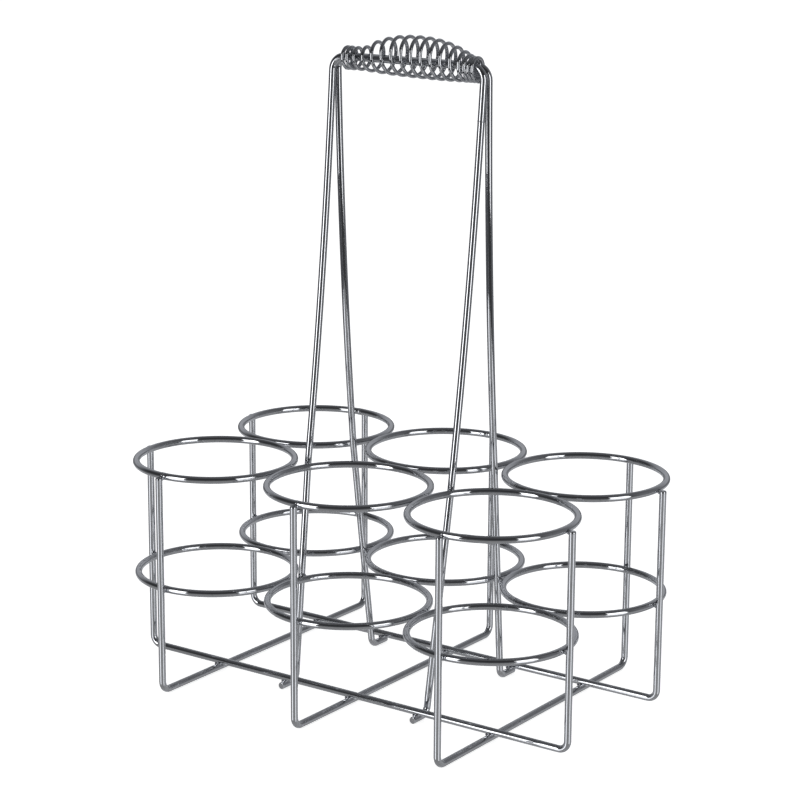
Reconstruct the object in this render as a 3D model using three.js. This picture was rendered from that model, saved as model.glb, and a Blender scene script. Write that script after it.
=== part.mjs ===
// A bottle caddy of round wire: a carrier for six bottles.
// Two levels of rings hold the bottles in two rows, front and back, of three.
// Upright U-shaped wires stand outside the rings and cross under them, and two arched wires
// rise through the middle and lie side by side as a handle, which a coil spring wraps as a grip.
// Units are millimetres. X is the long direction, Y runs from front to back and Z is up.
// The origin is on the table, under the middle of the carrier.
import * as THREE from "three";

// Wire
const WIRE_DIAMETER = 3.2;
const WELD_GAP = 0.3; // between wires that are welded side by side
const WIRE_SIDES = 8; // with a flat face down where a wire lies on the table
const BEND_RADIUS = 4.5; // of the centreline, at the lower corners of the upright wires
const BEND_STEPS = 6;

// Rings
const RING_INSIDE = 70; // diameter, for a bottle of 61 to 66 mm
const RING_STEPS = 32;
const UPPER_RING_HEIGHT = 103.4;
const LOWER_RING_HEIGHT = 49.9;
const LEG_TOP_HEIGHT = 103.4; // the upright wires end beside the upper rings

// Handle wires
const BAR_HEIGHT = 289;
const BAR_LEAN = 1.6; // how far the bar has been pushed to the back
const HANDLE_CORNER_RADIUS = 6;
const LEFT_LEG_X = { foot: -36.7, ring: -38.7, bar: -37.1 };
const RIGHT_LEG_X = { foot: 37.6, ring: 41.0, bar: 44.3 };
const LEG_SPREAD = { foot: 30.2, ring: 17.6 }; // from the middle plane, on the table and at the upper rings
const LEG_STEPS = 8;
const FOOT_REACH = 41.3; // from the middle plane to the cut end of a foot
const FOOT_BEND_RADIUS = 4;
const FOOT_CLEARANCE = 0.05; // between a foot and the table

// Coil spring grip
const COIL_WIRE_DIAMETER = 1.6;
const COIL_WIRE_SIDES = 6;
const COIL_STEPS_PER_TURN = 14;
const COIL_TURNS = 17;
const COIL_START_TURN = -0.5; // whole turns lie at the top of the coil
const COIL_FIRST_TOP_X = -30.35;
const COIL_CLOSED_PITCH = 2.05;
const COIL_OPEN_PITCH = 6.65;
const COIL_PITCH_LOSS = 0.175; // from one open turn to the next
const COIL_OPENING_TURNS = 3.8; // over which the closed turns at the left open out
const COIL_CLOSING_TURNS = 2; // over which the open turns at the right close up
const COIL_CLOSED_TURNS = 2.3; // that stay close at the right
const COIL_END_RADIUS = { left: 5.5, right: 5.9 }; // outside
const COIL_END_DROP = { left: 0.6, right: 1.5 }; // of the coil's axis under the bar
const COIL_MIDDLE_X = 8;
const COIL_HALF_LENGTH = 28.8; // of the stretch that swells
const COIL_SWELL = 3.8; // of the radius in the middle
const COIL_SWELL_POWER = 2.3; // how full the swell stays towards its ends
const COIL_RISE = 3.1; // of the axis in the middle, so that the coil's underside stays nearly level

// Finish
const CHROME = { color: 0xc8cbd0, roughness: 0.12, metalness: 1 };

const WIRE_RADIUS = WIRE_DIAMETER / 2;
const WIRE_STEP = WIRE_DIAMETER + WELD_GAP; // between the centrelines of two wires side by side
const RING_RADIUS = RING_INSIDE / 2 + WIRE_RADIUS; // of the centreline
const RING_PITCH = 2 * RING_RADIUS + WIRE_STEP;
const SHORT_WIRE_HEIGHT = WIRE_RADIUS;
const LONG_WIRE_HEIGHT = SHORT_WIRE_HEIGHT + WIRE_STEP;
const FOOT_HEIGHT = WIRE_RADIUS + FOOT_CLEARANCE;

const COLUMNS = { left: -RING_PITCH, middle: 0, right: RING_PITCH };
const ROWS = { front: -RING_PITCH / 2, back: RING_PITCH / 2 };
const LEVELS = { upper: UPPER_RING_HEIGHT, lower: LOWER_RING_HEIGHT };

// A wire's centreline through chosen stations. Equal steps of its parameter go from one station
// to the next, so an extrusion along it has one section at each station, square to the bend.
class WireCurve extends THREE.Curve {
  constructor(stations) {
    super();
    this.stations = stations;
  }

  get steps() {
    return this.stations.length - 1;
  }

  getPoint(t, target = new THREE.Vector3()) {
    const place = t * this.steps;
    const index = Math.min(Math.floor(place), this.steps - 1);
    return target.lerpVectors(this.stations[index], this.stations[index + 1], place - index);
  }

  getTangent(t, target = new THREE.Vector3()) {
    const index = Math.round(t * this.steps);
    const here = this.stations[index];
    const before = this.stations[Math.max(index - 1, 0)];
    const after = this.stations[Math.min(index + 1, this.steps)];
    const arriving = here.clone().sub(before).normalize();
    const leaving = after.clone().sub(here).normalize();
    return target.addVectors(arriving, leaving).normalize();
  }

  getUtoTmapping(u) {
    return u;
  }
}

// The section of a wire: a regular polygon round a circle of the wire's radius.
function wireSection(radius, sides) {
  const points = [];
  for (let i = 0; i < sides; i += 1) {
    const angle = ((i + 0.5) * 2 * Math.PI) / sides;
    const reach = radius / Math.cos(Math.PI / sides);
    points.push(new THREE.Vector2(reach * Math.cos(angle), reach * Math.sin(angle)));
  }
  return points;
}

function wireAlong(stations, radius, sides) {
  const curve = new WireCurve(stations);
  return new THREE.ExtrudeGeometry(new THREE.Shape(wireSection(radius, sides)), {
    extrudePath: curve,
    steps: curve.steps,
  });
}

// The stations of one round bend at a corner between two straight stretches.
function bendStations(before, corner, after, radius, steps) {
  const arriving = corner.clone().sub(before).normalize();
  const leaving = after.clone().sub(corner).normalize();
  const turn = arriving.angleTo(leaving);
  const start = corner.clone().addScaledVector(arriving, -radius * Math.tan(turn / 2));
  const axis = new THREE.Vector3().crossVectors(arriving, leaving).normalize();
  const inward = new THREE.Vector3().crossVectors(axis, arriving);
  const centre = start.clone().addScaledVector(inward, radius);
  const stations = [];
  for (let i = 0; i <= steps; i += 1) {
    const spoke = start.clone().sub(centre).applyAxisAngle(axis, (turn * i) / steps);
    stations.push(spoke.add(centre));
  }
  return stations;
}

// A wire's stations from its corners: each corner is a point, and a bend where it has a radius.
function stationsThrough(corners, steps) {
  return corners.flatMap(({ point, radius }, index) => {
    if (!radius) return [point];
    return bendStations(corners[index - 1].point, point, corners[index + 1].point, radius, steps);
  });
}

function ringGeometry() {
  const profile = wireSection(WIRE_RADIUS, WIRE_SIDES);
  const points = profile.map(({ x, y }) => new THREE.Vector2(RING_RADIUS + x, y));
  points.push(points[0].clone());
  return new THREE.LatheGeometry(points, RING_STEPS).rotateX(Math.PI / 2);
}

// A U-shaped wire in an upright plane, from one leg's top to the other's.
// The wire is made along X and turned afterwards where it runs along Y.
function uprightWireGeometry(halfSpan, height) {
  const corners = [
    { point: new THREE.Vector3(-halfSpan, 0, LEG_TOP_HEIGHT) },
    { point: new THREE.Vector3(-halfSpan, 0, height), radius: BEND_RADIUS },
    { point: new THREE.Vector3(halfSpan, 0, height), radius: BEND_RADIUS },
    { point: new THREE.Vector3(halfSpan, 0, LEG_TOP_HEIGHT) },
  ];
  return wireAlong(stationsThrough(corners, BEND_STEPS), WIRE_RADIUS, WIRE_SIDES);
}

// One leg of a handle wire, from its foot to the corner at the bar. It is straight up to the
// upper rings and bows inward above them. side is -1 at the front and 1 at the back.
function handleLegCorners(legX, side) {
  const foot = new THREE.Vector3(legX.foot, side * LEG_SPREAD.foot, FOOT_HEIGHT);
  const ring = new THREE.Vector3(legX.ring, side * LEG_SPREAD.ring, UPPER_RING_HEIGHT);
  const bar = new THREE.Vector3(legX.bar, side * (WIRE_STEP / 2) + BAR_LEAN, BAR_HEIGHT);
  const slope = (LEG_SPREAD.foot - LEG_SPREAD.ring) / (UPPER_RING_HEIGHT - FOOT_HEIGHT);
  const halfRise = (BAR_HEIGHT - UPPER_RING_HEIGHT) / 2;
  const control = new THREE.Vector3(
    (legX.ring + legX.bar) / 2,
    side * (LEG_SPREAD.ring - slope * halfRise) + BAR_LEAN / 2,
    UPPER_RING_HEIGHT + halfRise,
  );
  const bow = new THREE.QuadraticBezierCurve3(ring, control, bar).getPoints(LEG_STEPS);
  const bowCorners = bow.map((point) => ({ point }));
  bowCorners.at(-1).radius = HANDLE_CORNER_RADIUS;
  return [
    { point: new THREE.Vector3(legX.foot, side * FOOT_REACH, FOOT_HEIGHT) },
    { point: foot, radius: FOOT_BEND_RADIUS },
    ...bowCorners,
  ];
}

function handleWireGeometry(side) {
  const left = handleLegCorners(LEFT_LEG_X, side);
  const right = handleLegCorners(RIGHT_LEG_X, side).reverse();
  const stations = stationsThrough([...left, ...right], BEND_STEPS);
  return wireAlong(stations, WIRE_RADIUS, WIRE_SIDES);
}

// The distance along X from one turn to the next, at a given turn.
function coilPitch(turn) {
  const open = COIL_OPEN_PITCH - COIL_PITCH_LOSS * turn;
  const opening = THREE.MathUtils.smoothstep(turn, 0, COIL_OPENING_TURNS);
  const lastOpenTurn = COIL_START_TURN + COIL_TURNS - COIL_CLOSED_TURNS;
  const closing = THREE.MathUtils.smoothstep(lastOpenTurn - turn, 0, COIL_CLOSING_TURNS);
  return COIL_CLOSED_PITCH + (open - COIL_CLOSED_PITCH) * opening * closing;
}

// The coil's centreline is a right-handed helix that swells towards the middle of the grip.
function coilStations() {
  const steps = Math.round(COIL_TURNS * COIL_STEPS_PER_TURN);
  const leftEnd = COIL_MIDDLE_X - COIL_HALF_LENGTH;
  const stations = [];
  let x = COIL_FIRST_TOP_X + COIL_START_TURN * COIL_CLOSED_PITCH;
  for (let i = 0; i <= steps; i += 1) {
    const turn = COIL_START_TURN + i / COIL_STEPS_PER_TURN;
    const along = THREE.MathUtils.clamp((x - leftEnd) / (2 * COIL_HALF_LENGTH), 0, 1);
    const swell = 1 - Math.abs(2 * along - 1) ** COIL_SWELL_POWER;
    const outside = THREE.MathUtils.lerp(COIL_END_RADIUS.left, COIL_END_RADIUS.right, along);
    const drop = THREE.MathUtils.lerp(COIL_END_DROP.left, COIL_END_DROP.right, along);
    const radius = outside + COIL_SWELL * swell - COIL_WIRE_DIAMETER / 2;
    const axisHeight = BAR_HEIGHT - drop + COIL_RISE * swell;
    const angle = 2 * Math.PI * turn;
    const y = BAR_LEAN - radius * Math.sin(angle);
    stations.push(new THREE.Vector3(x, y, axisHeight + radius * Math.cos(angle)));
    x += coilPitch(turn) / COIL_STEPS_PER_TURN;
  }
  return stations;
}

function pieceOf(name, geometry) {
  const mesh = new THREE.Mesh(geometry, new THREE.MeshStandardMaterial(CHROME));
  mesh.name = name;
  return mesh;
}

function ringGroup() {
  const group = new THREE.Group();
  for (const [level, height] of Object.entries(LEVELS)) {
    for (const [row, y] of Object.entries(ROWS)) {
      for (const [column, x] of Object.entries(COLUMNS)) {
        const ring = pieceOf(`ring_${level}_${row}_${column}`, ringGeometry());
        ring.position.set(x, y, height);
        group.add(ring);
      }
    }
  }
  return group;
}

function uprightWireGroup() {
  const group = new THREE.Group();
  const outside = RING_RADIUS + WIRE_STEP; // from a ring's centre to the legs beside it
  for (const [row, y] of Object.entries(ROWS)) {
    const geometry = uprightWireGeometry(COLUMNS.right + outside, LONG_WIRE_HEIGHT);
    const wire = pieceOf(`long_wire_${row}`, geometry);
    wire.position.y = y;
    group.add(wire);
  }
  for (const [column, x] of Object.entries(COLUMNS)) {
    const geometry = uprightWireGeometry(ROWS.back + outside, SHORT_WIRE_HEIGHT);
    const wire = pieceOf(`short_wire_${column}`, geometry.rotateZ(Math.PI / 2));
    wire.position.x = x;
    group.add(wire);
  }
  return group;
}

function handleGroup() {
  const group = new THREE.Group();
  group.add(pieceOf("handle_wire_front", handleWireGeometry(-1)));
  group.add(pieceOf("handle_wire_back", handleWireGeometry(1)));
  const coil = wireAlong(coilStations(), COIL_WIRE_DIAMETER / 2, COIL_WIRE_SIDES);
  group.add(pieceOf("grip_coil", coil));
  return group;
}

const caddy = new THREE.Group();
caddy.add(ringGroup(), uprightWireGroup(), handleGroup());

export default caddy;
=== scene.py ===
"""A chromed wire carrier for six bottles, with a tall handle and a coil spring as its grip.

Two levels of rings hold the bottles in two rows of three. U-shaped wires stand outside the rings
and cross under them. Two arched wires rise through the middle and lie side by side at the top,
where a coil spring wraps them. Weld beads join the wires where they touch.

Units are metres. X is the long direction, Y runs from front to back and Z is up.
"""

import logging
import math
from collections.abc import Iterable, Sequence
from dataclasses import dataclass, field
from enum import Enum
from functools import cache
from itertools import pairwise

import bmesh
import bpy
from mathutils import Matrix, Vector, noise


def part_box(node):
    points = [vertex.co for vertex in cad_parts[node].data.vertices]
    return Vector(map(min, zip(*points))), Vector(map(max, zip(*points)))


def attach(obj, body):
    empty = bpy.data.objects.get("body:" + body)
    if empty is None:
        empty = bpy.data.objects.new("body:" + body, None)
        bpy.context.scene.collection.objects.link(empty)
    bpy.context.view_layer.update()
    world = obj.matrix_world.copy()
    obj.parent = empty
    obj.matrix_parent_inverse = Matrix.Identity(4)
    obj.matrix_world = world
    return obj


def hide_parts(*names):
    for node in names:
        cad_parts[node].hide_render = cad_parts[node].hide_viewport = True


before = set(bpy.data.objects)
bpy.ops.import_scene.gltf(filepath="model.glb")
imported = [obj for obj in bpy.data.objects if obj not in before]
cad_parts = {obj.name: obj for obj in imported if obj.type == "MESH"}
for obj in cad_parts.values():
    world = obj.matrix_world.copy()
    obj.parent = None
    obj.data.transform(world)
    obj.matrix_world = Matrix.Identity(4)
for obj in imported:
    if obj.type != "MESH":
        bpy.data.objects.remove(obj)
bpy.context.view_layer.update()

BODY = "root"
WELD_GAP = 0.0003
SAME_POINT = 1e-7
END_ROUNDING_STEPS = 4
# The middle of a noise, which hardly ever reaches 0 or 1.
NOISE_LOW = 0.3
NOISE_HIGH = 0.7
SOFT_DETAIL = 2.0
# A Mix node's colour sockets. Its number sockets have the same names, so these go by their places.
MIX_LOW = 6
MIX_HIGH = 7
MIX_RESULT = 2
UP = Vector((0, 0, 1))
ALONG = Vector((1, 0, 0))
ACROSS = Vector((0, 1, 0))

log = logging.getLogger("carrier")


class Level(Enum):
    """The two heights at which rings hold the bottles."""

    UPPER = "upper"
    LOWER = "lower"


class Row(Enum):
    """The two rows of bottles."""

    FRONT = "front"
    BACK = "back"

    @property
    def side(self) -> int:
        """The sign of Y on this row's side."""
        return -1 if self is Row.FRONT else 1


class Column(Enum):
    """The three bottles of a row."""

    LEFT = "left"
    MIDDLE = "middle"
    RIGHT = "right"


class Slot(Enum):
    """The record's material slots."""

    WIRE = "wire"
    SPRING = "spring"


class NodeTree:
    """A short way to add and link shader nodes."""

    def __init__(self, tree: bpy.types.NodeTree) -> None:
        """Starts from an empty tree.

        Args:
            tree: the material's or the world's node tree.
        """
        self.tree = tree
        tree.nodes.clear()

    def add(self, kind: str, **settings: object) -> bpy.types.Node:
        """Adds a node.

        Args:
            kind: the node's type name.
            settings: the node's own properties.

        Returns:
            The new node.
        """
        node = self.tree.nodes.new(kind)
        for name, value in settings.items():
            setattr(node, name, value)
        return node

    def link(self, source: bpy.types.NodeSocket, target: bpy.types.NodeSocket) -> None:
        """Links an output to an input."""
        self.tree.links.new(source, target)

    def math(self, operation: str, *values: object) -> bpy.types.NodeSocket:
        """Adds a Math node.

        Args:
            operation: the node's operation.
            values: its inputs, each a number or an output socket.

        Returns:
            The node's output.
        """
        node = self.add("ShaderNodeMath", operation=operation)
        for socket, value in zip(node.inputs, values):
            if isinstance(value, bpy.types.NodeSocket):
                self.link(value, socket)
            else:
                socket.default_value = value
        return node.outputs[0]

    def noise(self, scale: float, detail: float) -> bpy.types.NodeSocket:
        """Adds noise on the object's own coordinates.

        Args:
            scale: how many blotches there are to a metre.
            detail: how many finer layers it has.

        Returns:
            The noise, from 0 to 1.
        """
        place = self.add("ShaderNodeTexCoord")
        texture = self.add("ShaderNodeTexNoise", noise_dimensions="3D")
        texture.inputs["Scale"].default_value = scale
        texture.inputs["Detail"].default_value = detail
        self.link(place.outputs["Object"], texture.inputs["Vector"])
        return texture.outputs["Fac"]

    def spread(self, value: bpy.types.NodeSocket, low: float, high: float) -> bpy.types.NodeSocket:
        """Spreads the middle of a noise over a range.

        Args:
            value: the noise.
            low: the result where the noise is low.
            high: the result where the noise is high.

        Returns:
            The value in that range.
        """
        node = self.add("ShaderNodeMapRange", interpolation_type="SMOOTHSTEP")
        self.link(value, node.inputs["Value"])
        node.inputs["From Min"].default_value = NOISE_LOW
        node.inputs["From Max"].default_value = NOISE_HIGH
        node.inputs["To Min"].default_value = low
        node.inputs["To Max"].default_value = high
        return node.outputs["Result"]


def empty_material(name: str) -> tuple[bpy.types.Material, NodeTree]:
    """Makes a material that has no nodes yet.

    Args:
        name: the material's name.

    Returns:
        The material and its nodes.
    """
    made = bpy.data.materials.new(name)
    made.use_nodes = True
    return made, NodeTree(made.node_tree)


@dataclass(frozen=True)
class ChromeFinish:
    """Bright plating over a wire, with hazy patches, dull specks and a slight waviness."""

    name: str
    tint: tuple[float, float, float]
    dull_tint: tuple[float, float, float]
    clear_roughness: float
    hazy_roughness: float
    wave_height: float
    grain_height: float
    patch_scale: float = 130
    speck_scale: float = 900
    wave_scale: float = 160
    grain_scale: float = 2600
    patch_detail: float = 4.0
    speck_detail: float = 3.0
    speck_core: float = 0.3
    speck_rim: float = 0.44

    def material(self) -> bpy.types.Material:
        """Makes the material, or finds it again.

        Returns:
            The material.
        """
        made = bpy.data.materials.get(self.name)
        if made is not None:
            return made
        made, nodes = empty_material(self.name)
        shader = nodes.add("ShaderNodeBsdfPrincipled")
        shader.inputs["Metallic"].default_value = 1.0
        output = nodes.add("ShaderNodeOutputMaterial")
        nodes.link(shader.outputs["BSDF"], output.inputs["Surface"])
        nodes.link(self._colour(nodes), shader.inputs["Base Color"])
        nodes.link(self._roughness(nodes), shader.inputs["Roughness"])
        nodes.link(self._relief(nodes), shader.inputs["Normal"])
        return made

    def _colour(self, nodes: NodeTree) -> bpy.types.NodeSocket:
        """The plating's colour, duller in small specks."""
        specks = nodes.noise(self.speck_scale, self.speck_detail)
        ramp = nodes.add("ShaderNodeValToRGB")
        dull, bright = ramp.color_ramp.elements
        dull.position = self.speck_core
        dull.color = (*self.dull_tint, 1.0)
        bright.position = self.speck_rim
        bright.color = (*self.tint, 1.0)
        nodes.link(specks, ramp.inputs["Fac"])
        return ramp.outputs["Color"]

    def _roughness(self, nodes: NodeTree) -> bpy.types.NodeSocket:
        """Clear plating with hazy patches."""
        patches = nodes.noise(self.patch_scale, self.patch_detail)
        return nodes.spread(patches, self.clear_roughness, self.hazy_roughness)

    def _relief(self, nodes: NodeTree) -> bpy.types.NodeSocket:
        """The drawn wire's slight waves, with the plating's fine grain over them."""
        waves = nodes.add("ShaderNodeBump")
        waves.inputs["Distance"].default_value = self.wave_height
        nodes.link(nodes.noise(self.wave_scale, SOFT_DETAIL), waves.inputs["Height"])
        grain = nodes.add("ShaderNodeBump")
        grain.inputs["Distance"].default_value = self.grain_height
        nodes.link(nodes.noise(self.grain_scale, SOFT_DETAIL), grain.inputs["Height"])
        nodes.link(waves.outputs["Normal"], grain.inputs["Normal"])
        return grain.outputs["Normal"]


WIRE_CHROME = ChromeFinish(
    name="wire_chrome",
    tint=(0.66, 0.67, 0.69),
    dull_tint=(0.59, 0.6, 0.61),
    clear_roughness=0.045,
    hazy_roughness=0.08,
    wave_height=0.000012,
    grain_height=0.0000004,
)
WELD_CHROME = ChromeFinish(
    name="weld_chrome",
    tint=(0.6, 0.61, 0.64),
    dull_tint=(0.36, 0.36, 0.37),
    clear_roughness=0.12,
    hazy_roughness=0.3,
    wave_height=0.0002,
    grain_height=0.00002,
    wave_scale=700,
)
SPRING_CHROME = ChromeFinish(
    name="spring_chrome",
    tint=(0.7, 0.71, 0.73),
    dull_tint=(0.54, 0.55, 0.57),
    clear_roughness=0.03,
    hazy_roughness=0.06,
    wave_height=0.00001,
    grain_height=0.0000004,
)


@dataclass(frozen=True)
class FloorFinish:
    """A pale matt studio floor that is lit from within as well, with a faint mottle."""

    name: str = "pale_floor"
    light: tuple[float, float, float] = (0.9, 0.9, 0.9)
    dark: tuple[float, float, float] = (0.88, 0.88, 0.88)
    glow: float = 0.9
    mottle_scale: float = 40

    def material(self) -> bpy.types.Material:
        """Makes the floor's material.

        Returns:
            The material.
        """
        made, nodes = empty_material(self.name)
        shader = nodes.add("ShaderNodeBsdfPrincipled")
        shader.inputs["Roughness"].default_value = 1.0
        shader.inputs["Specular IOR Level"].default_value = 0.0
        shader.inputs["Emission Color"].default_value = (1.0, 1.0, 1.0, 1.0)
        shader.inputs["Emission Strength"].default_value = self.glow
        ramp = nodes.add("ShaderNodeValToRGB")
        dark, light = ramp.color_ramp.elements
        dark.color = (*self.dark, 1.0)
        light.color = (*self.light, 1.0)
        nodes.link(nodes.noise(self.mottle_scale, SOFT_DETAIL), ramp.inputs["Fac"])
        nodes.link(ramp.outputs["Color"], shader.inputs["Base Color"])
        output = nodes.add("ShaderNodeOutputMaterial")
        nodes.link(shader.outputs["BSDF"], output.inputs["Surface"])
        return made


@dataclass(frozen=True)
class TableFinish:
    """The polished grey table top that the chrome mirrors, evenly lit and half a mirror itself."""

    name: str = "polished_table"
    mirror_share: tuple[float, float, float] = (0.47, 0.475, 0.49)
    dim_glow: float = 0.33
    clear_glow: float = 0.37
    roughness: float = 0.02
    mottle_scale: float = 12

    def material(self) -> bpy.types.Material:
        """Makes the table's material.

        Returns:
            The material.
        """
        made, nodes = empty_material(self.name)
        mirror = nodes.add("ShaderNodeBsdfAnisotropic")
        mirror.inputs["Color"].default_value = (*self.mirror_share, 1.0)
        mirror.inputs["Roughness"].default_value = self.roughness
        glow = nodes.add("ShaderNodeEmission")
        mottle = nodes.noise(self.mottle_scale, SOFT_DETAIL)
        strength = nodes.spread(mottle, self.dim_glow, self.clear_glow)
        nodes.link(strength, glow.inputs["Strength"])
        both = nodes.add("ShaderNodeAddShader")
        nodes.link(mirror.outputs["BSDF"], both.inputs[0])
        nodes.link(glow.outputs["Emission"], both.inputs[1])
        output = nodes.add("ShaderNodeOutputMaterial")
        nodes.link(both.outputs["Shader"], output.inputs["Surface"])
        return made


def smoothstep(value: float, low: float, high: float) -> float:
    """Rises from 0 at low to 1 at high, with level ends."""
    share = min(max((value - low) / (high - low), 0.0), 1.0)
    return share * share * (3 - 2 * share)


def mixed(first: float, second: float, share: float) -> float:
    """The value that lies a share of the way from first to second."""
    return first + (second - first) * share


def vectors_in(geometry: Iterable) -> list[bmesh.types.BMVert]:
    """The vertices among an operator's results."""
    return [item for item in geometry if isinstance(item, bmesh.types.BMVert)]


def faces_in(geometry: Iterable) -> list[bmesh.types.BMFace]:
    """The faces among an operator's results."""
    return [item for item in geometry if isinstance(item, bmesh.types.BMFace)]


@dataclass(frozen=True)
class Corner:
    """A point on a wire's way, and the radius of its bend if the wire turns there."""

    point: Vector
    radius: float = 0.0


def bend_stations(before: Vector, corner: Corner, after: Vector, steps: int) -> list[Vector]:
    """The stations of a round bend between two straight stretches.

    Args:
        before: the point that the wire comes from.
        corner: where the two stretches would meet.
        after: the point that the wire goes to.
        steps: how many steps the bend has.

    Returns:
        The stations along the bend.
    """
    arriving = (corner.point - before).normalized()
    leaving = (after - corner.point).normalized()
    turn = arriving.angle(leaving)
    start = corner.point - arriving * corner.radius * math.tan(turn / 2)
    axis = arriving.cross(leaving).normalized()
    centre = start + axis.cross(arriving) * corner.radius
    spoke = start - centre
    return [centre + Matrix.Rotation(turn * i / steps, 3, axis) @ spoke for i in range(steps + 1)]


def stations_through(corners: Sequence[Corner], steps: int = 12) -> list[Vector]:
    """The stations of a wire that runs through corners.

    Args:
        corners: the wire's ends and the corners between them.
        steps: how many steps each bend has.

    Returns:
        The stations along the wire's centreline.
    """
    stations = []
    for index, corner in enumerate(corners):
        if corner.radius:
            before = corners[index - 1].point
            after = corners[index + 1].point
            stations += bend_stations(before, corner, after, steps)
        else:
            stations.append(corner.point)
    return stations


def with_guards(
    stations: Sequence[Vector],
    guard: float = 0.001,
    shortest: float = 0.015,
) -> list[Vector]:
    """Adds a station near each end of every long stretch, so that its smooth shading stays straight.

    Args:
        stations: points along a wire's centreline.
        guard: how far from the stretch's end the added station lies.
        shortest: the length from which a stretch is guarded.

    Returns:
        The stations with the added ones.
    """
    guarded = [stations[0]]
    for here, there in pairwise(stations):
        stretch = there - here
        if stretch.length > shortest:
            inset = stretch.normalized() * guard
            guarded += [here + inset, there - inset]
        guarded.append(there)
    return guarded


def section_frames(stations: Sequence[Vector]) -> list[Matrix]:
    """The place and turn of a wire's section at each station, without any twist.

    Args:
        stations: points along the wire's centreline.

    Returns:
        One matrix for each station, with its Z axis along the wire.
    """
    frames = []
    direction = (stations[1] - stations[0]).normalized()
    turn = direction.to_track_quat("Z", "Y")
    last = len(stations) - 1
    for index, place in enumerate(stations):
        arriving = (place - stations[max(index - 1, 0)]).normalized()
        leaving = (stations[min(index + 1, last)] - place).normalized()
        heading = (arriving + leaving).normalized()
        turn = direction.rotation_difference(heading) @ turn
        direction = heading
        frames.append(Matrix.Translation(place) @ turn.to_matrix().to_4x4())
    return frames


def drawn_wire(
    stations: Sequence[Vector],
    radius: float,
    sides: int,
    rounding: float,
) -> bmesh.types.BMesh:
    """Draws a round wire by extruding its end from station to station.

    Args:
        stations: points along the wire's centreline.
        radius: the wire's radius.
        sides: the number of sides of its section.
        rounding: how far its cut ends are rounded.

    Returns:
        The closed wire.
    """
    wire = bmesh.new()
    frames = section_frames(with_guards(stations))
    bmesh.ops.create_circle(wire, cap_ends=True, segments=sides, radius=radius, matrix=frames[0])
    end = wire.faces[:]
    for here, there in pairwise(frames):
        drawn = bmesh.ops.extrude_face_region(wire, geom=end)["geom"]
        end = faces_in(drawn)
        bmesh.ops.transform(wire, matrix=there @ here.inverted(), verts=vectors_in(drawn))
    bmesh.ops.recalc_face_normals(wire, faces=wire.faces[:])
    rims = [edge for face in wire.faces if len(face.verts) == sides for edge in face.edges]
    bmesh.ops.bevel(
        wire,
        geom=rims,
        offset=rounding,
        affect="EDGES",
        segments=END_ROUNDING_STEPS,
        profile=0.5,
        material=-1,
        clamp_overlap=True,
    )
    for face in wire.faces:
        if len(face.verts) == sides:
            for edge in face.edges:
                edge.smooth = False
    return wire


def finished_piece(name: str, mesh: bmesh.types.BMesh, finish: ChromeFinish) -> bpy.types.Object:
    """Turns a closed bmesh into a smooth piece with its finish, at the origin.

    Args:
        name: the piece's name.
        mesh: the shape, in its place. It is freed.
        finish: what covers it.

    Returns:
        The new object.
    """
    bmesh.ops.remove_doubles(mesh, verts=mesh.verts[:], dist=SAME_POINT)
    bmesh.ops.recalc_face_normals(mesh, faces=mesh.faces[:])
    for face in mesh.faces:
        face.smooth = True
    data = bpy.data.meshes.new(name)
    mesh.to_mesh(data)
    mesh.free()
    data.materials.append(finish.material())
    piece = bpy.data.objects.new(name, data)
    bpy.context.scene.collection.objects.link(piece)
    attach(piece, BODY)
    log.info("%s: %d faces", name, len(data.polygons))
    return piece


@dataclass(frozen=True)
class RingPlace:
    """A ring's middle and sizes, as its CAD node has them."""

    node: str
    centre: Vector
    radius: float
    wire_radius: float


@cache
def ring_place(level: Level, row: Row, column: Column) -> RingPlace:
    """Reads a ring's place from its CAD node.

    Args:
        level: the ring's level.
        row: its row.
        column: its place in the row.

    Returns:
        The ring's place, with the radius of its wire's centreline.
    """
    node = f"ring_{level.value}_{row.value}_{column.value}"
    low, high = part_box(node)
    wire_radius = (high.z - low.z) / 2
    return RingPlace(node, (low + high) / 2, (high.x - low.x) / 2 - wire_radius, wire_radius)


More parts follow.
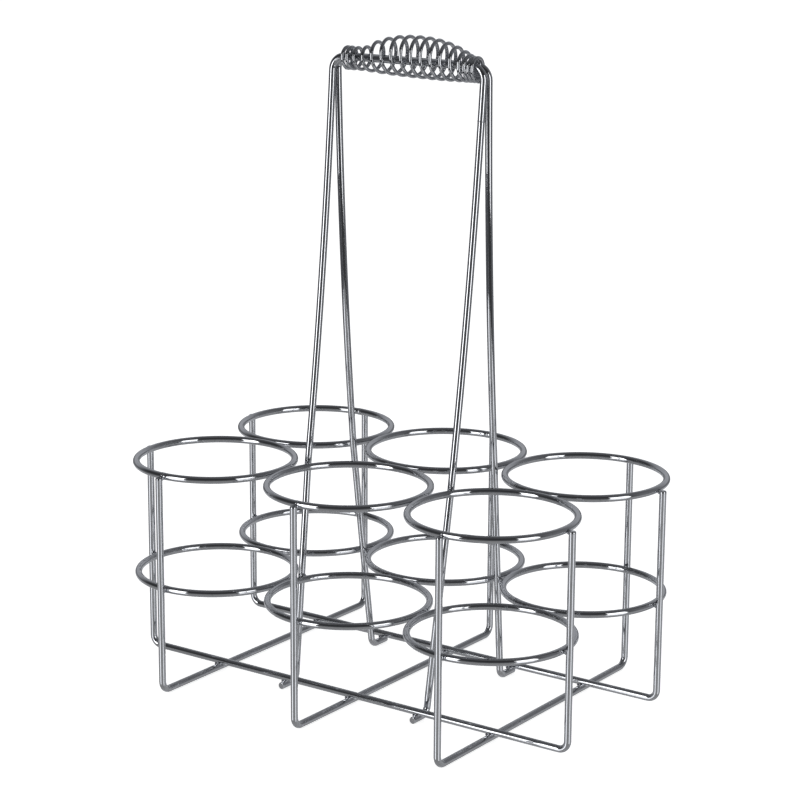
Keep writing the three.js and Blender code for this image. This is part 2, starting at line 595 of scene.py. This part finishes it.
@dataclass
class WireRing:
    """A ring: a wire bent round, with a butt seam where its ends are welded together."""

    place: RingPlace
    seam_degrees: float
    sides: int = 24
    steps: int = 120
    seam_span: float = 0.005
    seam_steps: int = 24
    seam_swelling: float = 0.06
    seam_swelling_width: float = 0.0011
    seam_groove: float = 0.12
    seam_groove_width: float = 0.00022

    def build(self) -> bpy.types.Object:
        """Spins the wire's section round the ring's axis.

        Returns:
            The ring, which stands for its CAD node.
        """
        mesh = bmesh.new()
        place = self.place
        seam_angle = self.seam_span / place.radius
        upright = Matrix.Translation((place.radius, 0, 0)) @ Matrix.Rotation(math.pi / 2, 4, "X")
        bmesh.ops.create_circle(mesh, segments=self.sides, radius=place.wire_radius, matrix=upright)
        section = mesh.verts[:] + mesh.edges[:]
        around = 2 * math.pi - seam_angle
        for angle, steps in ((around, self.steps), (seam_angle, self.seam_steps)):
            spun = bmesh.ops.spin(mesh, geom=section, cent=(0, 0, 0), axis=UP, angle=angle, steps=steps)
            section = spun["geom_last"]
        self._shape_seam(mesh, -seam_angle / 2)
        turn = Matrix.Rotation(math.radians(self.seam_degrees) + seam_angle / 2, 4, "Z")
        bmesh.ops.transform(mesh, matrix=Matrix.Translation(place.centre) @ turn, verts=mesh.verts[:])
        piece = finished_piece(f"chromed_{place.node}", mesh, WIRE_CHROME)
        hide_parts(place.node)
        return piece

    def _shape_seam(self, mesh: bmesh.types.BMesh, seam: float) -> None:
        """Swells the wire at its seam, with a groove where the ends meet.

        Args:
            mesh: the ring round the origin.
            seam: the seam's angle.
        """
        radius = self.place.radius
        for point in mesh.verts:
            angle = math.atan2(point.co.y, point.co.x)
            away = (angle - seam) * radius
            swelling = self.seam_swelling * math.exp(-((away / self.seam_swelling_width) ** 2))
            groove = self.seam_groove * math.exp(-((away / self.seam_groove_width) ** 2))
            middle = Vector((math.cos(angle), math.sin(angle), 0)) * radius
            point.co = middle + (point.co - middle) * (1 + swelling - groove)


@dataclass
class UprightWire:
    """A U-shaped wire in an upright plane, from one leg's top to the other's."""

    node: str
    direction: Vector
    bend_radius: float = 0.0045
    end_rounding: float = 0.0006
    sides: int = 24

    def build(self, wire_radius: float) -> bpy.types.Object:
        """Draws the wire through its two lower corners.

        Args:
            wire_radius: half the wire's thickness.

        Returns:
            The wire, which stands for its CAD node.
        """
        low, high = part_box(self.node)
        middle = (low + high) / 2
        reach = (high - low).dot(self.direction) / 2 - wire_radius
        left = middle - self.direction * reach
        right = middle + self.direction * reach
        bottom = low.z + wire_radius
        corners = [
            Corner(Vector((left.x, left.y, high.z))),
            Corner(Vector((left.x, left.y, bottom)), self.bend_radius),
            Corner(Vector((right.x, right.y, bottom)), self.bend_radius),
            Corner(Vector((right.x, right.y, high.z))),
        ]
        mesh = drawn_wire(stations_through(corners), wire_radius, self.sides, self.end_rounding)
        piece = finished_piece(f"chromed_{self.node}", mesh, WIRE_CHROME)
        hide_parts(self.node)
        return piece


@dataclass(frozen=True)
class LegPlaces:
    """Where a handle leg stands along X at its foot, at the upper rings and at the bar."""

    foot: float
    ring: float
    bar: float


@dataclass
class HandleWire:
    """One of the two arched wires: two legs that bow inward above the rings, and a bar between them."""

    row: Row
    ring_height: float
    wire_radius: float
    left: LegPlaces = LegPlaces(foot=-0.0367, ring=-0.0387, bar=-0.0371)
    right: LegPlaces = LegPlaces(foot=0.0376, ring=0.0410, bar=0.0443)
    foot_spread: float = 0.0302
    ring_spread: float = 0.0176
    bar_lean: float = 0.0016
    foot_bend_radius: float = 0.004
    corner_radius: float = 0.006
    end_rounding: float = 0.00025
    seam_share: float = 0.875
    seam_length: float = 0.0007
    seam_height: float = 0.00006
    bow_steps: int = 24
    sides: int = 24

    @property
    def node(self) -> str:
        """The CAD node's name."""
        return f"handle_wire_{self.row.value}"

    @property
    def bar_height(self) -> float:
        """The height of the bar's centreline."""
        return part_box(self.node)[1].z - self.wire_radius

    @property
    def foot_height(self) -> float:
        """The height of a foot's centreline."""
        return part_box(self.node)[0].z + self.wire_radius

    @property
    def slope(self) -> float:
        """How far a leg leans inward for each metre that it rises to the upper rings."""
        return (self.foot_spread - self.ring_spread) / (self.ring_height - self.foot_height)

    def leg_place(self, leg: LegPlaces, height: float) -> Vector:
        """A point on the straight stretch of a leg.

        Args:
            leg: the left or the right leg.
            height: how high the point is, up to the upper rings.

        Returns:
            The point on the leg's centreline.
        """
        share = (height - self.foot_height) / (self.ring_height - self.foot_height)
        spread = mixed(self.foot_spread, self.ring_spread, share)
        return Vector((mixed(leg.foot, leg.ring, share), self.row.side * spread, height))

    def _leg_corners(self, leg: LegPlaces) -> list[Corner]:
        """A leg's way from the cut end of its foot to the corner at the bar."""
        low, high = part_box(self.node)
        foot_end = low.y if self.row is Row.FRONT else high.y
        foot = self.leg_place(leg, self.foot_height)
        ring = self.leg_place(leg, self.ring_height)
        bar_y = self.row.side * (self.wire_radius + WELD_GAP / 2) + self.bar_lean
        bar = Vector((leg.bar, bar_y, self.bar_height))
        half_rise = (self.bar_height - self.ring_height) / 2
        spread = self.ring_spread - self.slope * half_rise
        control_y = self.row.side * spread + self.bar_lean / 2
        control = Vector(((leg.ring + leg.bar) / 2, control_y, self.ring_height + half_rise))
        corners = [
            Corner(Vector((leg.foot, foot_end, self.foot_height))),
            Corner(foot, self.foot_bend_radius),
        ]
        for step in range(self.bow_steps + 1):
            share = step / self.bow_steps
            point = ring.lerp(control, share).lerp(control.lerp(bar, share), share)
            corners.append(Corner(point, self.corner_radius if step == self.bow_steps else 0.0))
        return corners

    def build(self) -> bpy.types.Object:
        """Draws the wire up one leg, along the bar and down the other leg.

        Returns:
            The wire, which stands for its CAD node.
        """
        corners = self._leg_corners(self.left) + self._leg_corners(self.right)[::-1]
        mesh = drawn_wire(stations_through(corners), self.wire_radius, self.sides, self.end_rounding)
        piece = finished_piece(f"chromed_{self.node}", mesh, WIRE_CHROME)
        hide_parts(self.node)
        return piece

    def build_seam(self, leg: LegPlaces) -> bpy.types.Object:
        """Draws the slight collar where the wire's two ends were welded together.

        Args:
            leg: the leg that has the seam, a share of the way up its bow above the rings.

        Returns:
            The collar.
        """
        bow = self._leg_corners(leg)[2:]
        step = round(self.seam_share * self.bow_steps)
        place = bow[step].point
        along = (bow[step + 1].point - bow[step - 1].point).normalized()
        ends = [place - along * self.seam_length / 2, place + along * self.seam_length / 2]
        mesh = drawn_wire(ends, self.wire_radius + self.seam_height, self.sides, self.seam_height)
        collar = finished_piece(f"seam_on_{self.node}", mesh, WELD_CHROME)
        return collar


@dataclass
class GripCoil:
    """The coil spring round the bars: close turns at its ends, open ones that swell in the middle."""

    bar_height: float
    bar_lean: float
    node: str = "grip_coil"
    wire_radius: float = 0.0008
    sides: int = 14
    steps_per_turn: int = 48
    turns: float = 17.0
    start_turn: float = -0.5
    first_top_x: float = -0.03035
    closed_pitch: float = 0.00205
    open_pitch: float = 0.00665
    pitch_loss: float = 0.000175
    opening_turns: float = 3.8
    closing_turns: float = 2.0
    closed_turns: float = 2.3
    left_radius: float = 0.0055
    right_radius: float = 0.0059
    left_drop: float = 0.0006
    right_drop: float = 0.0015
    middle_x: float = 0.008
    half_length: float = 0.0288
    swell: float = 0.0038
    swell_power: float = 2.3
    rise: float = 0.0031
    end_rounding: float = 0.00015

    def _pitch(self, turn: float) -> float:
        """The distance along X from one turn to the next, at a given turn."""
        open_here = self.open_pitch - self.pitch_loss * turn
        opening = smoothstep(turn, 0, self.opening_turns)
        last_open_turn = self.start_turn + self.turns - self.closed_turns
        closing = smoothstep(last_open_turn - turn, 0, self.closing_turns)
        return self.closed_pitch + (open_here - self.closed_pitch) * opening * closing

    def _stations(self) -> list[Vector]:
        """The coil's centreline, a right-handed helix."""
        stations = []
        x = self.first_top_x + self.start_turn * self.closed_pitch
        for step in range(round(self.turns * self.steps_per_turn) + 1):
            turn = self.start_turn + step / self.steps_per_turn
            along = (x - self.middle_x + self.half_length) / (2 * self.half_length)
            along = min(max(along, 0.0), 1.0)
            swelling = 1 - abs(2 * along - 1) ** self.swell_power
            outside = mixed(self.left_radius, self.right_radius, along) + self.swell * swelling
            radius = outside - self.wire_radius
            drop = mixed(self.left_drop, self.right_drop, along)
            angle = 2 * math.pi * turn
            height = self.bar_height - drop + self.rise * swelling + radius * math.cos(angle)
            stations.append(Vector((x, self.bar_lean - radius * math.sin(angle), height)))
            x += self._pitch(turn) / self.steps_per_turn
        return stations

    def build(self) -> bpy.types.Object:
        """Draws the coil's wire along its helix.

        Returns:
            The coil, which stands for its CAD node.
        """
        mesh = drawn_wire(self._stations(), self.wire_radius, self.sides, self.end_rounding)
        piece = finished_piece("chromed_grip_coil", mesh, SPRING_CHROME)
        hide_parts(self.node)
        return piece


@dataclass(frozen=True)
class WeldSpot:
    """One weld: where two wires touch, which way they face each other and how large its bead is."""

    place: Vector
    facing: Vector
    run: Vector
    half_length: float
    half_width: float
    half_depth: float

    def matrix(self) -> Matrix:
        """The place, turn and size of the bead, from a ball of radius 1."""
        along = (self.run - self.facing * self.run.dot(self.facing)).normalized()
        side = self.facing.cross(along)
        size = Matrix.Diagonal((self.half_length, self.half_width, self.half_depth, 1))
        turn = Matrix((along, side, self.facing)).transposed().to_4x4()
        return Matrix.Translation(self.place) @ turn @ size


@dataclass
class WeldBeads:
    """A group of alike beads in one piece, each with lumps of its own."""

    name: str
    spots: list[WeldSpot] = field(default_factory=list)
    smoothness: int = 3
    lump: float = 0.1
    lump_scale: float = 900

    def add(
        self,
        place: Vector,
        facing: Vector,
        run: Vector,
        half_sizes: tuple[float, float, float],
    ) -> None:
        """Adds a bead.

        Args:
            place: where the two wires touch.
            facing: the direction from one wire to the other.
            run: the bead's long direction.
            half_sizes: half its length, its width and its depth towards the wires.
        """
        self.spots.append(WeldSpot(place, facing.normalized(), run, *half_sizes))

    def build(self) -> bpy.types.Object:
        """Makes every bead and gives each its lumps.

        Returns:
            The piece with all the group's beads.
        """
        mesh = bmesh.new()
        for spot in self.spots:
            ball = bmesh.ops.create_icosphere(
                mesh,
                subdivisions=self.smoothness,
                radius=1,
                matrix=spot.matrix(),
            )
            for point in ball["verts"]:
                swelling = self.lump * noise.noise(point.co * self.lump_scale)
                point.co = spot.place + (point.co - spot.place) * (1 + swelling)
        piece = finished_piece(self.name, mesh, WELD_CHROME)
        return piece


@dataclass
class Rack:
    """The bottle rack: twelve rings and the five U-shaped wires that carry them."""

    seams: dict[tuple[Level, Row, Column], float] = field(default_factory=dict)
    usual_seam_degrees: dict[Row, float] = field(default_factory=dict)

    def build(self) -> list[bpy.types.Object]:
        """Builds the rings and the upright wires.

        Returns:
            Their pieces.
        """
        pieces = []
        for level in Level:
            for row in Row:
                for column in Column:
                    seam = self.seams.get((level, row, column), self.usual_seam_degrees[row])
                    pieces.append(WireRing(ring_place(level, row, column), seam).build())
        wire_radius = ring_place(Level.UPPER, Row.FRONT, Column.LEFT).wire_radius
        for row in Row:
            pieces.append(UprightWire(f"long_wire_{row.value}", ALONG).build(wire_radius))
        for column in Column:
            pieces.append(UprightWire(f"short_wire_{column.value}", ACROSS).build(wire_radius))
        return pieces


@dataclass
class WeldPlan:
    """Every weld of the carrier, worked out from where the wires touch."""

    handles: list[HandleWire]
    ring_bead: tuple[float, float, float] = (0.0026, 0.0011, 0.0010)
    leg_bead: tuple[float, float, float] = (0.0016, 0.0013, 0.0009)
    top_bead: tuple[float, float, float] = (0.0012, 0.0013, 0.0009)
    top_bead_drop: float = 0.0006
    crossing_bead: tuple[float, float, float] = (0.0017, 0.0017, 0.0009)
    handle_bead: tuple[float, float, float] = (0.0022, 0.0016, 0.0011)

    def build(self) -> list[bpy.types.Object]:
        """Builds the beads in groups.

        Returns:
            One piece for each group.
        """
        groups = [
            *(self._between_rings(level) for level in Level),
            *(self._on_legs(level) for level in Level),
            self._at_crossings(),
            self._at_feet(),
            self._on_handle_legs(),
        ]
        return [group.build() for group in groups]

    def _between_rings(self, level: Level) -> WeldBeads:
        """The beads where neighbouring rings touch."""
        beads = WeldBeads(f"welds_between_{level.value}_rings")
        for row in Row:
            for first, second in pairwise(Column):
                near = ring_place(level, row, first).centre
                far = ring_place(level, row, second).centre
                beads.add((near + far) / 2, far - near, ACROSS, self.ring_bead)
        for column in Column:
            near = ring_place(level, Row.FRONT, column).centre
            far = ring_place(level, Row.BACK, column).centre
            beads.add((near + far) / 2, far - near, ALONG, self.ring_bead)
        return beads

    def _on_legs(self, level: Level) -> WeldBeads:
        """The beads between the rings and the legs that stand outside them."""
        beads = WeldBeads(f"welds_{level.value}_rings_to_legs")
        size = self.top_bead if level is Level.UPPER else self.leg_bead
        drop = UP * (self.top_bead_drop if level is Level.UPPER else 0.0)
        for row in Row:
            for column in Column:
                ring = ring_place(level, row, column)
                reach = ring.radius + ring.wire_radius + WELD_GAP / 2
                outward = ACROSS * row.side
                beads.add(ring.centre + outward * reach - drop, outward, UP, size)
                if column is not Column.MIDDLE:
                    outward = ALONG * (1 if column is Column.RIGHT else -1)
                    beads.add(ring.centre + outward * reach - drop, outward, UP, size)
        return beads

    def _at_crossings(self) -> WeldBeads:
        """The beads where the long wires lie on the short ones."""
        beads = WeldBeads("welds_at_crossings")
        for row in Row:
            low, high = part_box(f"long_wire_{row.value}")
            for column in Column:
                short_low, short_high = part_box(f"short_wire_{column.value}")
                x = (short_low.x + short_high.x) / 2
                place = Vector((x, (low.y + high.y) / 2, low.z - WELD_GAP / 2))
                beads.add(place, UP, ALONG, self.crossing_bead)
        return beads

    def _at_feet(self) -> WeldBeads:
        """The beads where the long wires lie on the handle's feet."""
        beads = WeldBeads("welds_at_feet")
        for handle in self.handles:
            low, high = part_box(f"long_wire_{handle.row.value}")
            for leg in (handle.left, handle.right):
                place = Vector((leg.foot, (low.y + high.y) / 2, low.z - WELD_GAP / 2))
                beads.add(place, UP, ACROSS, self.crossing_bead)
        return beads

    def _on_handle_legs(self) -> WeldBeads:
        """The beads between each handle leg and the lower ring that it nearly touches."""
        beads = WeldBeads("welds_handle_to_rings")
        for handle in self.handles:
            for leg, column in ((handle.left, Column.MIDDLE), (handle.right, Column.RIGHT)):
                ring = ring_place(Level.LOWER, handle.row, column)
                place = handle.leg_place(leg, ring.centre.z)
                outward = (place - ring.centre).normalized()
                on_ring = ring.centre + outward * ring.radius
                beads.add((place + on_ring) / 2, outward, UP, self.handle_bead)
        return beads


@dataclass
class PictureCamera:
    """The camera: where it looks, from which side and how far away."""

    azimuth: float = math.radians(35.37)
    elevation: float = math.radians(13.74)
    roll: float = math.radians(0.32)
    distance: float = 1.10374
    aim_right: float = 0.0005
    aim_height: float = 0.1353
    sensor_width: float = 36.0
    lens: float = 109.12
    clip_start: float = 0.01
    clip_end: float = 100.0

    def build(self) -> bpy.types.Object:
        """Makes the camera and makes it the scene's.

        Returns:
            The camera.
        """
        level = math.cos(self.elevation)
        back = Vector(
            (
                math.sin(self.azimuth) * level,
                -math.cos(self.azimuth) * level,
                math.sin(self.elevation),
            )
        )
        right = Vector((math.cos(self.azimuth), math.sin(self.azimuth), 0))
        up = back.cross(right)
        turned_right = right * math.cos(self.roll) + up * math.sin(self.roll)
        turned_up = up * math.cos(self.roll) - right * math.sin(self.roll)
        target = right * self.aim_right + UP * self.aim_height
        turn = Matrix((turned_right, turned_up, back)).transposed().to_4x4()
        data = bpy.data.cameras.new("picture_camera")
        data.sensor_width = self.sensor_width
        data.lens = self.lens
        data.clip_start = self.clip_start
        data.clip_end = self.clip_end
        camera = bpy.data.objects.new("picture_camera", data)
        camera.matrix_world = Matrix.Translation(target + back * self.distance) @ turn
        bpy.context.scene.collection.objects.link(camera)
        bpy.context.scene.camera = camera
        return camera


@dataclass(frozen=True)
class StripLight:
    """A tall softbox beside the camera. Its angle is counted from the camera's side of the carrier."""

    name: str
    angle: float
    width: float
    brightness: float
    distance: float = 2.2
    height: float = 1.93
    middle_height: float = 0.635


Levels = tuple[tuple[float, float], ...]


@dataclass(frozen=True)
class RoomLevels:
    """How bright the room is on each side of the carrier, as the camera faces it.

    Each side has heights from straight down, -1, to straight up, 1, each with a brightness.
    """

    front: Levels = (
        (-1.0, 0.09),
        (-0.25, 0.09),
        (-0.02, 0.15),
        (0.15, 0.16),
        (0.4, 0.085),
        (0.6, 0.065),
        (0.85, 0.09),
        (1.0, 0.17),
    )
    left: Levels = (
        (-1.0, 0.15),
        (-0.1, 0.18),
        (0.05, 0.15),
        (0.2, 0.08),
        (0.5, 0.075),
        (0.75, 0.14),
        (1.0, 0.17),
    )
    right: Levels = (
        (-1.0, 0.22),
        (0.0, 0.27),
        (0.5, 0.24),
        (0.8, 0.19),
        (1.0, 0.17),
    )
    back: Levels = (
        (-1.0, 0.26),
        (-0.15, 0.26),
        (0.02, 0.24),
        (0.12, 0.36),
        (0.21, 0.52),
        (0.5, 0.44),
        (0.8, 0.3),
        (1.0, 0.17),
    )
    tint: tuple[float, float, float] = (0.97, 0.985, 1.03)


@dataclass
class Studio:
    """A pale floor, a polished table, two tall softboxes and a dim room."""

    camera: PictureCamera
    floor_radius: float = 14.0
    floor_drop: float = 0.0001
    table_radius: float = 0.5
    disc_sides: int = 128
    picture_gamma: float = 0.8
    strips: tuple[StripLight, ...] = (
        StripLight("left_softbox", math.radians(-54.5), 0.975, 2.5),
        StripLight("right_softbox", math.radians(45), 1.1, 1.85),
    )
    room: RoomLevels = RoomLevels()
    white_strength: float = 1.01
    left_to_right: tuple[float, float] = (-0.2, 0.2)
    sides_to_front: tuple[float, float] = (0.15, 0.6)
    back_to_sides: tuple[float, float] = (-0.85, -0.3)

    def build(self) -> None:
        """Builds the floor, the lights and the room, and sets how the picture shows brightness."""
        self._build_floor()
        self._build_table()
        for strip in self.strips:
            self._build_strip(strip)
        self._build_room()
        scene = bpy.context.scene
        scene.view_settings.view_transform = "Standard"
        scene.view_settings.look = "None"
        scene.view_settings.gamma = self.picture_gamma
        scene.cycles.caustics_reflective = False
        scene.cycles.caustics_refractive = False

    def _build_disc(
        self,
        name: str,
        radius: float,
        height: float,
        material: bpy.types.Material,
    ) -> bpy.types.Object:
        """A level disc that is part of the studio.

        Args:
            name: the disc's name.
            radius: its radius.
            height: how high it lies.
            material: its material.

        Returns:
            The disc.
        """
        mesh = bmesh.new()
        place = Matrix.Translation(UP * height)
        bmesh.ops.create_circle(
            mesh,
            cap_ends=True,
            segments=self.disc_sides,
            radius=radius,
            matrix=place,
        )
        data = bpy.data.meshes.new(name)
        mesh.to_mesh(data)
        mesh.free()
        data.materials.append(material)
        disc = bpy.data.objects.new(name, data)
        disc.visible_shadow = False
        bpy.context.scene.collection.objects.link(disc)
        return disc

    def _build_floor(self) -> None:
        """The wide pale floor, just under the table. The chrome mirrors the table instead of it."""
        material = FloorFinish().material()
        floor = self._build_disc("studio_floor", self.floor_radius, -self.floor_drop, material)
        floor.visible_glossy = False

    def _build_table(self) -> None:
        """The table top, which shows in the chrome only."""
        table = self._build_disc("studio_table", self.table_radius, 0.0, TableFinish().material())
        table.visible_camera = False
        table.visible_diffuse = False

    def _build_strip(self, strip: StripLight) -> None:
        """A softbox that faces the carrier.

        Args:
            strip: where it stands and how large and bright it is.
        """
        turn = self.camera.azimuth + strip.angle
        towards = Vector((math.sin(turn), -math.cos(turn), 0))
        data = bpy.data.lights.new(strip.name, "AREA")
        data.shape = "RECTANGLE"
        data.size = strip.width
        data.size_y = strip.height
        data.energy = strip.brightness * math.pi * strip.width * strip.height
        light = bpy.data.objects.new(strip.name, data)
        light.location = towards * strip.distance + UP * strip.middle_height
        light.rotation_euler = towards.to_track_quat("Z", "Y").to_euler()
        light.visible_camera = False
        bpy.context.scene.collection.objects.link(light)

    def _build_room(self) -> None:
        """The room: white to the eye, and dim and uneven in the chrome."""
        world = bpy.data.worlds.new("studio_room")
        world.use_nodes = True
        bpy.context.scene.world = world
        nodes = NodeTree(world.node_tree)
        direction = nodes.add("ShaderNodeTexCoord").outputs["Generated"]
        towards_camera = self._share_along(nodes, direction, self.camera.azimuth)
        towards_right = self._share_along(nodes, direction, self.camera.azimuth + math.pi / 2)
        parts = nodes.add("ShaderNodeSeparateXYZ")
        nodes.link(direction, parts.inputs["Vector"])
        height = nodes.math("MULTIPLY_ADD", parts.outputs["Z"], 0.5, 0.5)
        room = self.room
        sides = self._blend(
            nodes,
            towards_right,
            self.left_to_right,
            self._room_ramp(nodes, height, room.left),
            self._room_ramp(nodes, height, room.right),
        )
        fore = self._blend(
            nodes,
            towards_camera,
            self.sides_to_front,
            sides,
            self._room_ramp(nodes, height, room.front),
        )
        whole = self._blend(
            nodes,
            towards_camera,
            self.back_to_sides,
            self._room_ramp(nodes, height, room.back),
            fore,
        )
        dim = nodes.add("ShaderNodeBackground")
        nodes.link(whole, dim.inputs["Color"])
        white = nodes.add("ShaderNodeBackground")
        white.inputs["Color"].default_value = (1.0, 1.0, 1.0, 1.0)
        white.inputs["Strength"].default_value = self.white_strength
        seen = nodes.add("ShaderNodeLightPath")
        either = nodes.add("ShaderNodeMixShader")
        nodes.link(seen.outputs["Is Camera Ray"], either.inputs["Fac"])
        nodes.link(dim.outputs["Background"], either.inputs[1])
        nodes.link(white.outputs["Background"], either.inputs[2])
        output = nodes.add("ShaderNodeOutputWorld")
        nodes.link(either.outputs["Shader"], output.inputs["Surface"])

    def _share_along(
        self,
        nodes: NodeTree,
        direction: bpy.types.NodeSocket,
        azimuth: float,
    ) -> bpy.types.NodeSocket:
        """How far a direction points towards one side of the room.

        Args:
            nodes: the world's nodes.
            direction: the direction looked in.
            azimuth: the side, as the camera's azimuth is counted.

        Returns:
            The share, from -1 to 1.
        """
        product = nodes.add("ShaderNodeVectorMath", operation="DOT_PRODUCT")
        nodes.link(direction, product.inputs[0])
        product.inputs[1].default_value = (math.sin(azimuth), -math.cos(azimuth), 0)
        return product.outputs["Value"]

    def _blend(
        self,
        nodes: NodeTree,
        share: bpy.types.NodeSocket,
        span: tuple[float, float],
        low: bpy.types.NodeSocket,
        high: bpy.types.NodeSocket,
    ) -> bpy.types.NodeSocket:
        """Goes from one colour to another as a share crosses a span.

        Args:
            nodes: the world's nodes.
            share: what decides.
            span: where the change starts and where it ends.
            low: the colour below the span.
            high: the colour above the span.

        Returns:
            The blended colour.
        """
        crossing = nodes.add("ShaderNodeMapRange", interpolation_type="SMOOTHSTEP")
        nodes.link(share, crossing.inputs["Value"])
        start, end = span
        crossing.inputs["From Min"].default_value = start
        crossing.inputs["From Max"].default_value = end
        mix = nodes.add("ShaderNodeMix", data_type="RGBA")
        nodes.link(crossing.outputs["Result"], mix.inputs["Factor"])
        nodes.link(low, mix.inputs[MIX_LOW])
        nodes.link(high, mix.inputs[MIX_HIGH])
        return mix.outputs[MIX_RESULT]

    def _room_ramp(
        self,
        nodes: NodeTree,
        height: bpy.types.NodeSocket,
        levels: Levels,
    ) -> bpy.types.NodeSocket:
        """How bright one side of the room is at each height.

        Args:
            nodes: the world's nodes.
            height: the height looked at, from 0, straight down, to 1, straight up.
            levels: heights from -1 to 1, each with a brightness.

        Returns:
            The colour at that height.
        """
        ramp = nodes.add("ShaderNodeValToRGB")
        stops = ramp.color_ramp.elements
        while len(stops) < len(levels):
            stops.new(0.5)
        for stop, (place, brightness) in zip(stops, levels):
            stop.position = (place + 1) / 2
            stop.color = (*(brightness * tint for tint in self.room.tint), 1.0)
        nodes.link(height, ramp.inputs["Fac"])
        return ramp.outputs["Color"]


def main() -> None:
    """Builds the carrier, its camera and its studio."""
    logging.basicConfig(level=logging.INFO, format="%(name)s: %(message)s")
    camera = PictureCamera()
    camera.build()
    Studio(camera).build()
    seams = {
        (Level.UPPER, Row.BACK, Column.RIGHT): 245.5,
        (Level.LOWER, Row.BACK, Column.RIGHT): 247.0,
        (Level.LOWER, Row.BACK, Column.MIDDLE): 334.8,
    }
    usual_seams = {Row.FRONT: 270.0, Row.BACK: 90.0}
    pieces = Rack(seams, usual_seams).build()
    ring = ring_place(Level.UPPER, Row.FRONT, Column.LEFT)
    handles = [HandleWire(row, ring.centre.z, ring.wire_radius) for row in Row]
    pieces += [handle.build() for handle in handles]
    front_handle = handles[0]
    pieces.append(front_handle.build_seam(front_handle.right))
    pieces.append(GripCoil(front_handle.bar_height, front_handle.bar_lean).build())
    pieces += WeldPlan(handles).build()
    log.info("%d pieces", len(pieces))


if __name__ == "__main__":
    main()
